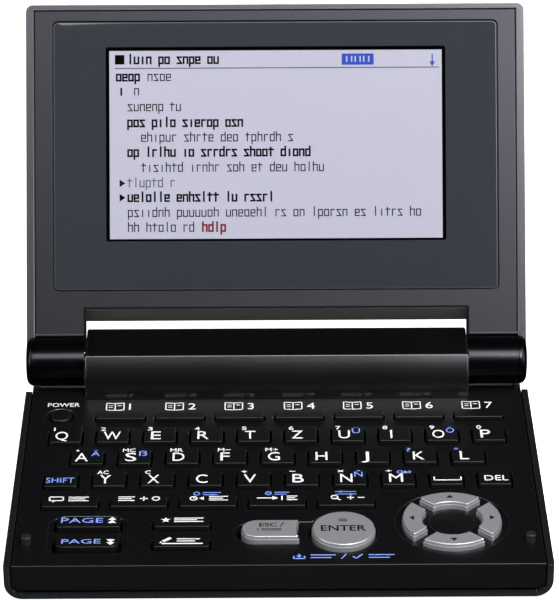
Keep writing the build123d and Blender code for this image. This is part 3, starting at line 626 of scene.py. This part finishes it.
# ---------------------------------------------------------------- housing parts with rounded edges
def softened(node, body, material, chosen, width, matrix=Matrix.Identity(4), weight=50, edge=None):
    """A merged copy of a moulded part whose chosen outer edges are rounded; edge, if given, is their own
    lighter finish, a painted highlight.
    """
    bm = bmesh.new()
    bm.from_mesh(nodes[node].data)
    bmesh.ops.remove_doubles(bm, verts=bm.verts, dist=cad_weld * mm)
    bmesh.ops.dissolve_limit(bm, angle_limit=math.radians(1), verts=bm.verts, edges=bm.edges)
    bm.transform(matrix.inverted())
    bm.normal_update()
    edges = [e for e in bm.edges if e.is_manifold and e.calc_face_angle_signed(0) > corner_turn
             and all(chosen(*(v.co / mm)) for v in e.verts)]
    bevel(bm, edges, width, material=1 if edge else None)
    return finished(node + "_moulding", bm, body, [material, edge] if edge else [material], [node],
                    matrix=matrix, weight=weight)


def near(value, level):
    """Whether a coordinate lies on a level."""
    return abs(value - level) < weld


# The deck's rounded top edges take the lighter edge finish, a painted highlight.
deck = softened("keyboard_deck", "base", deck_plastic,
                lambda x, y, z: near(z, deck_z), deck_edge_width, edge=deck_edge_highlight)
case = softened("bottom_case", "base", case_plastic,
                lambda x, y, z: near(z, deck_z) or near(z, case_floor_top), case_edge_width)
# The rear edge faces before the barrels take the near-black finish: painted shade cast by the barrels.
for piece in (deck, case):
    piece.data.materials.append(painted_trough_shade)
    for polygon in piece.data.polygons:
        x, y, z = polygon.center / mm
        before_barrel = abs(x) > block_half and trough_front < y < trough_rear
        if before_barrel and z > deck_z - trough_edge and abs(polygon.normal.y) > 0.1:
            polygon.material_index = len(piece.data.materials) - 1

cover = softened("hinge_block_cover", "base", block_paint,
                 lambda x, y, z: z > deck_z - weld and near(abs(x), block_half), block_end_width, weight=25)
cover.data.materials.append(block_top_paint)
for polygon in cover.data.polygons:
    if polygon.normal.z > flat:
        polygon.material_index = 1

softened("lid_front_frame", "lid", lid_paint, lambda x, y, z: near(y, face),
         frame_edge_width, matrix=to_lid)
bm = bmesh.new()
for side in (-1, 1):
    lip = block(sorted(side * x for x in lip_sides), (face - lip_proud, face + lip_sunk), lip_heights)
    front_edges = [e for e in lip.edges if all(near(v.co.y / mm, face - lip_proud) for v in e.verts)]
    bevel(lip, front_edges, lip_edge)
    merge(bm, lip)
finished("frame_lower_lips", bm, "lid", [rim_paint], matrix=to_lid)

# The lid's rounded front edges take the lighter edge finish, a painted highlight.
back = softened("lid_back_cover", "lid", rim_paint, lambda x, y, z: near(y, face),
                lid_edge_width, matrix=to_lid, edge=rim_edge_highlight)
for material in (barrel_paint, notch_paint, back_paint):
    back.data.materials.append(material)
on_front, on_barrel, on_notch, on_back = 0, 2, 3, 4      # 1 is the rounded edge
from_lid = to_lid.inverted()
above_barrel = barrel_radius + finish_margin
for polygon in back.data.polygons:
    middle = from_lid @ polygon.center / mm
    if middle.y < face + lid_edge_width and middle.z > above_barrel:
        if abs(middle.x) < rim_inner_x and middle.z < rim_inner_z:
            polygon.material_index = on_front
    elif abs(middle.x) < notch_half and notch_wall[0] < middle.z < notch_wall[1]:
        polygon.material_index = on_notch
    elif middle.z > above_barrel and abs(middle.x) > notch_half + finish_margin or middle.z > notch_wall[1]:
        polygon.material_index = on_back
    else:
        polygon.material_index = on_barrel

# ---------------------------------------------------------------- letter keys
# Marks on a key are drawn from its middle and its front edge.
key_materials = [key_plastic, white_ink, blue_ink, black_ink]
silver_materials = [silver_paint, white_ink, blue_ink, black_ink]
white, blue, black = 1, 2, 3
letter_height, letter_low = 3.3, 0.95
usual_width, usual_middle = 2.4, -0.8
letter_widths = {"W": 3.7, "M": 2.9, "Q": 2.7, "A": 2.7, "O": 2.6, "V": 2.6, "N": 2.55, "G": 2.55, "H": 2.5,
                 "D": 2.5, "U": 2.45, "T": 2.2, "P": 2.15, "E": 2.1, "F": 1.95, "L": 1.9, "J": 1.6,
                 "I": 0.42}
letter_middles = {"W": -0.1, "M": -0.5, "K": -0.4, "J": -1.6, "A": -1.15, "F": -1.05}
corner_left, corner_low, corner_height, corner_bold = -2.6, 4.7, 1.35, 0.012
corner_words = {"D": ("MR", 2.7), "S": ("MC", 2.7), "F": ("M−", 2.7), "G": ("M+", 2.7), "Y": ("AC", 2.4),
                "X": ("C", 1.1), "V": ("+", 1.2), "B": ("−", 1.3), "N": ("×", 1.3), "M": ("÷", 1.3)}
for digit, letter in zip("1234567890", "QWERTZUIOP"):
    corner_words[letter] = (digit, 0.34 if digit == "1" else 1.06)
blue_letters = {"A": "Ä", "S": "ß", "U": "Ü", "O": "Ö", "N": "Ñ"}
blue_marks = {"K": "?", "L": "*"}
rows = [(-45.35, 47.3, "QWERTZUIOP"), (-40.31, 38.3, "ASDFGHJKL"), (-45.35, 29.3, "⇧YXCVBNM␣⌫")]
special_keys = {"⇧": "shift", "␣": "space", "⌫": "delete"}

for first_x, front, letters in rows:
    for place, letter in enumerate(letters):
        x = first_x + place * key_pitch
        bm = rounded_cap(x, front, key_width, key_depth)
        at = (x, front, key_top)
        name = special_keys.get(letter, letter.lower())
        if letter == "⇧":
            printed(bm, [words("SHIFT", 2.0, 5.9, left=-3.08, low=1.3)], *at, blue)
        elif letter == "⌫":
            printed(bm, [words("DEL", 2.0, 5.0, left=-2.18, low=1.35)], *at, white)
        elif letter == "␣":
            printed(bm, tray(-2.6, 3.0, 1.6, 2.9), *at, white)
        else:
            width = letter_widths.get(letter, usual_width)
            middle = letter_middles.get(letter, usual_middle)
            printed(bm, [words(letter, letter_height, width, centre=middle, low=letter_low)], *at, white)
        if letter in corner_words:
            text, width = corner_words[letter]
            printed(bm, [words(text, corner_height, width, left=corner_left, low=corner_low,
                               bold=corner_bold)], *at, white)
        if letter == "A":
            printed(bm, [disc(-2.08, 5.3, 0.3)], *at, white)
        if letter in blue_letters:
            printed(bm, [words(blue_letters[letter], 2.0, 1.75, centre=1.75, low=3.1)], *at, blue)
        if letter in blue_marks:
            printed(bm, [words(blue_marks[letter], 1.4, 0.9, left=-2.85, low=4.3)], *at, blue)
        if letter == "M":
            printed(bm, [disc(0.4, 4.9, 0.65, hollow=0.22), pointer(1.5, 4.8, 1.2, 1.1, 90),
                         bar(2.4, 4.35, 2.4, 5.5, 0.28), bar(1.95, 4.95, 2.85, 4.95, 0.28)], *at, blue)
        if letter in "FJ":
            merge(bm, block((x - nub_half, x + nub_half), (front + nub_front, front + nub_rear),
                            (key_top - nub_sunk, key_top + nub_proud)))
        finished("key_" + name + "_top", bm, "key_" + name + "_cap", key_materials,
                 ["key_" + name], matrix=to_deck)

# ---------------------------------------------------------------- lookup, dictionary, page and marker keys
lookup_marks = [
    [*path((-4.2, 2.3), (-4.2, 3.7), (-1.4, 3.7), (-1.4, 2.3), (-4.2, 2.3)),
     pointer(-3.4, 2.0, 0.7, 0.7, -90), *ruled(-0.3, [(3.6, 3.9), (2.9, 3.2), (2.2, 3.9)])],
    [*ruled(-4.3, [(3.6, -0.9), (2.9, -1.5), (2.2, -0.9)]), *plus(1.0, 2.9, 0.8),
     disc(3.5, 2.9, 0.85, hollow=ring_width)],
    [disc(-3.0, 2.9, 0.85, hollow=ring_width), bar(-3.0, 2.9, -3.0, 3.5, 0.22),
     bar(-3.0, 2.9, -2.5, 2.9, 0.22), pointer(-1.2, 2.9, 1.3, 1.0, 180),
     *ruled(0.2, [(3.6, 4.1), (2.9, 3.1), (2.2, 4.1)])],
    [bar(-4.2, 2.9, -0.9, 2.9), pointer(-0.6, 2.9, 1.5, 1.2, 0), bar(1.0, 2.1, 1.0, 3.7),
     *ruled(2.0, [(3.6, 4.2), (2.9, 3.7), (2.2, 4.2)])],
    [disc(-2.4, 3.1, 0.8, hollow=ring_width), bar(-1.85, 2.5, -1.2, 1.95, 0.35), *plus(0.9, 2.9, 0.7),
     bar(2.4, 2.9, 3.8, 2.9)],
]
bm = bmesh.new()
for place, marks in enumerate(lookup_marks):
    x = lookup_first_x + place * lookup_pitch
    merge(bm, rounded_cap(x, lookup_front, lookup_width, lookup_depth))
    printed(bm, marks, x, lookup_front, key_top, white)
finished("lookup_key_tops", bm, "lookup_keys_cap", key_materials, ["lookup_keys"],
         matrix=to_deck)

dictionary_x = [dictionary_first_x + place * dictionary_pitch for place in range(7)]
bm = bmesh.new()
for x in dictionary_x:
    merge(bm, rounded_cap(x, dictionary_front, dictionary_width, dictionary_depth))
finished("dictionary_key_tops", bm, "dictionary_keys_cap", key_materials,
         ["dictionary_keys"], matrix=to_deck)

bm = bmesh.new()
merge(bm, rounded_cap(page_x, small_rear, page_width, small_depth))
merge(bm, rounded_cap(page_x, small_front, page_width, small_depth, front_corner=page_corner))
merge(bm, rounded_cap(marker_x, small_rear, marker_width, small_depth))
merge(bm, rounded_cap(marker_x, small_front, marker_width, small_depth))
printed(bm, [words("PAGE", 1.75, 8.6, left=-44.4, low=14.85),
             words("PAGE", 1.6, 7.9, left=-43.9, low=6.95)], 0, 0, key_top, blue)
printed(bm, [pointer(-33.95, 15.1, 1.7, 1.1, 90), pointer(-33.95, 16.25, 1.7, 1.1, 90),
             pointer(-33.95, 8.1, 1.7, 1.0, -90), pointer(-33.95, 7.05, 1.7, 1.0, -90),
             star(-23.0, 15.75, 1.0), *ruled(-21.3, [(16.4, -15.3), (15.75, -16.6), (15.1, -15.3)]),
             bar(-23.4, 7.6, -21.8, 8.9, 0.7), pointer(-23.8, 7.2, 0.6, 0.6, 219),
             bar(-23.6, 6.75, -15.3, 6.75, 0.35), *ruled(-20.6, [(8.5, -15.9), (7.7, -16.9)])],
        0, 0, key_top, white)
finished("page_and_marker_key_tops", bm, "page_and_marker_keys_cap", key_materials,
         ["page_and_marker_keys"], matrix=to_deck)


# ---------------------------------------------------------------- round, curved and silver keys
def spun_key(x, y, radius, top, edge, skirt=0.0):
    """A round key turned from its half section."""
    bm = bmesh.new()
    hub = 0.01
    section = [(hub, top)]
    for turn in (0, 30, 60, 90):
        section.append((radius - edge + edge * math.sin(math.radians(turn)),
                        top - edge + edge * math.cos(math.radians(turn))))
    if skirt:
        wide = radius + skirt
        section += [(radius, skirt_top), (wide, skirt_top - skirt_edge), (wide, key_low)]
    section += [(radius, key_low), (hub, key_low)]
    verts = [bm.verts.new((r * mm, 0, z * mm)) for r, z in section]
    edges = [bm.edges.new(pair) for pair in zip(verts, verts[1:])]
    bmesh.ops.spin(bm, geom=verts + edges, cent=(0, 0, 0), axis=(0, 0, 1), angle=2 * math.pi, steps=72,
                   use_merge=True)
    bmesh.ops.holes_fill(bm, edges=bm.edges, sides=0)
    bmesh.ops.recalc_face_normals(bm, faces=bm.faces)
    bm.transform(Matrix.Translation((x * mm, y * mm, 0)))
    return bm


def silver_key(arcs, skirt_arcs, corner):
    """A curved key with a rounded top rim on a slightly wider skirt."""
    bm = outline_plate(arcs, skirt_top - skirt_overlap, silver_top)
    bevel(bm, uprights(bm), corner, 4)
    round_top(bm, silver_edge, 4)
    skirt = outline_plate(skirt_arcs, key_low, skirt_top)
    bevel(skirt, uprights(skirt), corner, 4)
    round_top(skirt, skirt_edge, 2)
    merge(bm, skirt)
    return bm


def quarter(turn, out):
    """The outline of one quarter of the arrow ring, grown by out."""
    outer = pad_outer + out
    inner = pad_inner - out
    gap = pad_gap - 2 * out
    wide, narrow = (math.degrees(math.asin(gap / 2 / radius)) for radius in (outer, inner))
    return [(pad_centre, outer, turn - 45 + wide, turn + 45 - wide),
            (pad_centre, inner, turn + 45 - narrow, turn - 45 + narrow)]


def escape_outline(out):
    """The outline of the key that hollows round the enter key, grown by out."""
    half = escape_half + out
    hollow = escape_hollow - out
    lean = math.degrees(math.asin(half / hollow))
    return [(escape_round, half, 90, 270), (enter_centre, hollow, 180 + lean, 180 - lean)]


for name, turn in (("right", 0), ("up", 90), ("left", 180), ("down", 270)):
    bm = silver_key(quarter(turn, 0), quarter(turn, skirt_out), pad_corner)
    tip = Vector(pad_centre) + Matrix.Rotation(math.radians(turn), 2) @ Vector((arrow_reach, 0))
    size = (1.5, 1.1) if turn in (90, 270) else (1.7, 1.0)
    printed(bm, [pointer(*tip, *size, turn)], 0, 0, silver_top, black)
    finished("arrow_" + name + "_top", bm, "arrow_" + name + "_cap", silver_materials,
             ["arrow_" + name], matrix=to_deck)

bm = silver_key(escape_outline(0), escape_outline(skirt_out), escape_corner)
printed(bm, [words("ESC", 1.35, 3.6, left=-3.9, low=12.55, bold=0.012), bar(0.3, 12.4, 1.1, 14.1, 0.22),
             *ruled(-3.5, [(11.65, 0.6), (11.15, 0.6)], 0.22),
             disc(-4.2, 11.65, 0.17), disc(-4.2, 11.15, 0.17)], 0, 0, silver_top, black)
finished("escape_key_top", bm, "escape_key_cap", silver_materials, ["escape_key"],
         matrix=to_deck)

bm = spun_key(*enter_centre, enter_radius, silver_top, enter_edge, skirt_out)
printed(bm, [words("ENTER", 2.05, 9.19, left=8.63, low=10.8, bold=0.014),
             *ruled(12.3, [(14.55, 14.1), (15.2, 14.1)], 0.28)], 0, 0, silver_top, black)
finished("enter_key_top", bm, "enter_key_cap", silver_materials, ["enter_key"],
         matrix=to_deck)

power_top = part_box("power_key")[1].z / mm
bm = spun_key(*power_centre, power_radius, power_top, power_edge)
finished("power_key_top", bm, "power_key_cap", key_materials, ["power_key"],
         matrix=to_deck)

# ---------------------------------------------------------------- prints on the deck
book_before_x = 3.2         # the books' left edges stand this far left of their keys' middles
book_low = 62.4
number_after_book = 4.9
bm = bmesh.new()
printed(bm, [words("POWER", 1.6, 6.96, left=-50.02, low=63.9)], 0, 0, deck_z, white)
for number, x in enumerate(dictionary_x, 1):
    left = x - book_before_x
    printed(bm, [*open_book(left, book_low),
                 words(str(number), 2.6, left=left + number_after_book, low=book_low + 0.1)],
            0, 0, deck_z, white)
printed(bm, [disc(-16.9, 27.4, 0.7, hollow=0.24), *ruled(-15.6, [(27.8, -11.9), (27.0, -12.6)], 0.26),
             disc(-2.0, 27.4, 0.7, hollow=0.24), bar(-2.0, 27.1, -2.0, 27.5, 0.24),
             *ruled(-0.7, [(27.8, 2.4), (27.0, 1.8)], 0.26),
             bar(11.9, 27.9, 16.3, 27.9, 0.22), disc(13.0, 27.9, 0.4),
             bar(11.9, 26.9, 16.3, 26.9, 0.22), disc(15.2, 26.9, 0.4),
             *tray(3.0, 5.2, 2.3, 3.2), pointer(4.1, 3.1, 1.1, 0.9, -90), bar(4.1, 3.2, 4.1, 4.0),
             *ruled(6.4, [(3.6, 11.5), (2.6, 10.6)]), bar(12.6, 2.1, 13.6, 4.0, 0.25),
             *path((14.9, 3.0), (15.6, 2.3), (16.9, 3.9)), *ruled(18.1, [(3.6, 23.3), (2.6, 22.3)])],
        0, 0, deck_z, blue)
finished("deck_prints", bm, "base", key_materials, matrix=to_deck)


# ---------------------------------------------------------------- display
def on_face(depth):
    """Lays a plate drawn in x and height along the lid onto a plane at that depth from the hinge axis."""
    return to_lid @ Matrix.Translation((0, depth * mm, 0)) @ Matrix.Rotation(math.radians(90), 4, "X")


lit = (screen_left, screen_right, screen_low, screen_high)
clear = (screen_left - screen_border, screen_right + screen_border, clear_low, screen_high + screen_border)
bm = outline_plate(corners(-window_half, window_half, window_low, window_high, window_corner),
                   0, window_thickness, opening=corners(*clear, clear_corner))
bm.normal_update()


def on_window_rim(vert):
    """Whether a point of the window's front face lies along its outer rim."""
    x, y = vert.co.xy / mm
    return abs(x) > window_half - window_rim or not window_low + window_rim < y < window_high - window_rim


# The window's rounded outer rim takes the lighter edge finish, a painted highlight.
rim = [e for e in bm.edges if e.calc_face_angle(0) > corner_turn and on_window_rim(e.verts[0])
       and all(near(v.co.z / mm, window_thickness) for v in e.verts)]
bevel(bm, rim, window_edge_width, 2, material=1)
finished("window_print", bm, "lid", [window_print, window_edge_highlight], ["display_window"],
         matrix=on_face(window_depth))
bm = outline_plate(corners(*clear, clear_corner), 0, window_thickness)
pane = finished("window_pane", bm, "lid", [window_pane], ["display_window"],
                matrix=on_face(window_depth))
left, right, low, high = lit
bm = outline_plate(corners(left - mask_border, right + mask_border, low - mask_border, high + mask_border,
                           clear_corner), 0, mask_thickness, opening=corners(*lit, screen_corner))
finished("screen_mask", bm, "lid", [window_black], matrix=on_face(mask_depth))
bm = block((left, right), (low, high), (0, picture_thickness))
picture = finished("screen_picture", bm, "lid", [lit_screen], matrix=on_face(picture_depth))
for piece in (pane, picture):
    piece.visible_glossy = False

# ---------------------------------------------------------------- lines of made-up signs on the screen
# Strokes of each sign, as ends in its own width and height.
signs = [
    [(0, 0, 0, 1), (0, 1, 1, 1), (1, 1, 1, 0)],
    [(0, 0, 0, 1), (0, 1, 1, 1), (1, 1, 1, 0), (1, 0, 0, 0)],
    [(0.5, 0, 0.5, 1.45)],
    [(0, 0, 0, 1), (0, 1, 1, 1), (1, 1, 1, 0.5), (1, 0.5, 0, 0.5), (0, 0, 1, 0)],
    [(0.4, 0, 0.4, 1.3), (0, 1, 1, 1)],
    [(0.1, 0, 0.1, 1), (0.1, 1, 0.9, 1)],
    [(0, 1, 0, 0), (0, 0, 1, 0), (1, 0, 1, 1)],
    [(0, 0, 0, 1.45), (0, 1, 1, 1), (1, 1, 1, 0)],
    [(0, -0.45, 0, 1), (0, 1, 1, 1), (1, 1, 1, 0), (1, 0, 0, 0)],
    [(0, 0, 1, 0), (1, 0, 0, 1), (0, 1, 1, 1)],
    [(0.5, 0, 0.5, 1)],
    [(1, 0, 1, 1.45), (1, 1, 0, 1), (0, 1, 0, 0), (0, 0, 1, 0)],
]
sign_pitch, sign_width, sign_height = 1.36, 0.86, 1.36
line_slack = 0.2            # how far a last sign may run past its stretch
thin, thick = 0.24, 0.40
draw = random.Random(7)
screen_ink = [pixel_black, pixel_grey, pixel_red, pixel_blue, lit_screen]
dark, grey, red, bright, light = range(5)


def word_length():
    """How many signs the next word has."""
    return draw.randint(2, 7)


def sign_stroke(bm, x, low, ends, weight):
    """One stroke of a sign; a level or upright one runs half its weight past its ends."""
    x0, y0, x1, y1 = ends
    level, upright = y0 == y1, x0 == x1
    if level:
        x0, x1 = sorted((x0, x1))
    if upright:
        y0, y1 = sorted((y0, y1))
    dx = weight / 2 if level and not upright else 0
    dy = weight / 2 if upright and not level else 0
    stroke(bm, x + x0 * sign_width - dx, low + y0 * sign_height - dy,
           x + x1 * sign_width + dx, low + y1 * sign_height + dy, weight)


def screen_line(bm, start, end, low, weight, ink):
    """Fills a stretch of a line with made-up signs in word-long groups."""
    x = start
    left_in_word = word_length()
    first_face = len(bm.faces)
    while x + sign_width <= end + line_slack:
        if left_in_word:
            for ends in draw.choice(signs):
                sign_stroke(bm, x, low, ends, weight)
        left_in_word = left_in_word - 1 if left_in_word else word_length()
        x += sign_pitch
    bm.faces.ensure_lookup_table()
    for f in bm.faces[first_face:]:
        f.material_index = ink


# height of each line, then its stretches: start, end, weight and ink
lines = [
    (66.0, [(-32.55, -12.0, thick, dark)]),
    (62.2, [(-35.15, -29.3, thick, dark), (-28.2, -22.3, thin, dark)]),
    (59.05, [(-34.6, -33.8, thick, dark), (-31.2, -29.3, thin, dark)]),
    (55.5, [(-32.65, -24.4, thin, dark), (-23.3, -21.0, thin, dark)]),
    (52.0, [(-32.7, -6.9, thick, dark)]),
    (48.7, [(-29.7, 4.2, thin, dark)]),
    (45.4, [(-32.7, 8.4, thick, dark)]),
    (42.0, [(-29.7, 11.3, thin, dark)]),
    (38.6, [(-32.8, -21.7, thin, grey)]),
    (35.4, [(-32.7, -0.4, thick, dark)]),
    (32.0, [(-32.7, 32.1, thin, dark)]),
    (28.7, [(-32.7, -17.5, thin, dark), (-16.2, -9.8, thick, red)]),
]
bm = bmesh.new()
for low, parts in lines:
    for start, end, weight, ink in parts:
        screen_line(bm, start, end, low, weight, ink)
printed(bm, [bar(-35.55, 66.85, -33.45, 66.85, 2.1), pointer(-34.2, 39.4, 1.7, 1.3, 0),
             pointer(-34.2, 36.2, 1.7, 1.3, 0)], 0, 0, 0, dark)
printed(bm, [bar(-35.55, 64.9, 36.4, 64.9, 0.22)], 0, 0, 0, grey)
printed(bm, [bar(14.8, 66.75, 21.9, 66.75, 2.5), bar(34.9, 67.8, 34.9, 66.0, 0.3),
             pointer(34.9, 65.8, 1.3, 1.1, -90)], 0, 0, 0, bright)
printed(bm, [bar(x, 66.15, x, 67.45, 0.3) for x in (15.9, 17.0, 17.8, 18.9, 19.7, 20.8)],
        0, 0, ink_thick, light)
finished("screen_signs", bm, "lid", screen_ink, matrix=on_face(signs_depth))

# ---------------------------------------------------------------- floor, light and camera
floor_half = 2.5            # metres
floor_z = -0.02             # just under the feet
bm = bmesh.new()
bmesh.ops.create_grid(bm, x_segments=4, y_segments=4, size=floor_half,
                      matrix=Matrix.Translation((0, 0, floor_z * mm)))
mesh = bpy.data.meshes.new("floor")
bm.to_mesh(mesh)
bm.free()
floor = bpy.data.objects.new("floor", mesh)
scene.collection.objects.link(floor)
mesh.materials.append(finish("pale_floor", (0.93, 0.93, 0.93), (0.97, 0.97, 0.97), share=0.3, scale=40,
                             roughness=0.8, unevenness=0.05, bump=0.0, emission=(1, 1, 1), strength=0.95))
floor.visible_glossy = False

world = bpy.data.worlds.new("studio")
scene.world = world
world.use_nodes = True
world.node_tree.nodes["Background"].inputs["Color"].default_value = (0.9, 0.95, 1.0, 1)
world.node_tree.nodes["Background"].inputs["Strength"].default_value = 0.015
scene.view_settings.view_transform = "Standard"


def softbox(name, place, target, width, depth, watts):
    """A rectangular light at a place, turned to its target, in metres."""
    light = bpy.data.lights.new(name, "AREA")
    light.shape = "RECTANGLE"
    light.size = width
    light.size_y = depth
    light.energy = watts
    lamp = bpy.data.objects.new(name, light)
    scene.collection.objects.link(lamp)
    lamp.location = place
    lamp.rotation_euler = (Vector(target) - Vector(place)).to_track_quat("-Z", "Y").to_euler()


softbox("overhead", (0.06, -0.32, 0.51), (0, 0.02, 0.02), width=0.6, depth=0.21, watts=3.1)
softbox("right_front", (0.22, -0.42, 0.46), (0, 0.04, 0.05), width=0.16, depth=0.16, watts=3.0)
softbox("rear", (0, 0.62, 0.25), (0, 0.03, 0.04), width=0.1, depth=0.22, watts=2.6)
softbox("left_side", (-0.55, -0.22, 0.34), (0, 0, 0.03), width=0.35, depth=0.6, watts=1.8)
softbox("right_side", (0.55, -0.22, 0.34), (0, 0, 0.03), width=0.35, depth=0.6, watts=2.0)

camera_place = (-2.286, -586.008, 347.385)
camera_turns = (0.281, 27.936, 0.1654)      # heading, pitch down and roll in degrees
view = bpy.data.cameras.new("camera")
view.lens = 186.96
view.sensor_width = 36
view.clip_end = 20
camera = bpy.data.objects.new("camera", view)
scene.collection.objects.link(camera)
heading, pitch, roll = (math.radians(angle) for angle in camera_turns)
ahead = Vector((math.sin(heading), math.cos(heading), 0))
forward = ahead * math.cos(pitch) - Vector((0, 0, math.sin(pitch)))
right = Vector((math.cos(heading), -math.sin(heading), 0))
down = forward.cross(right)
across = math.cos(roll) * right + math.sin(roll) * down
upward = math.sin(roll) * right - math.cos(roll) * down
camera.matrix_world = Matrix.Translation(Vector(camera_place) * mm) @ Matrix(
    (across, upward, -forward)).transposed().to_4x4()
scene.camera = camera

bpy.context.view_layer.update()
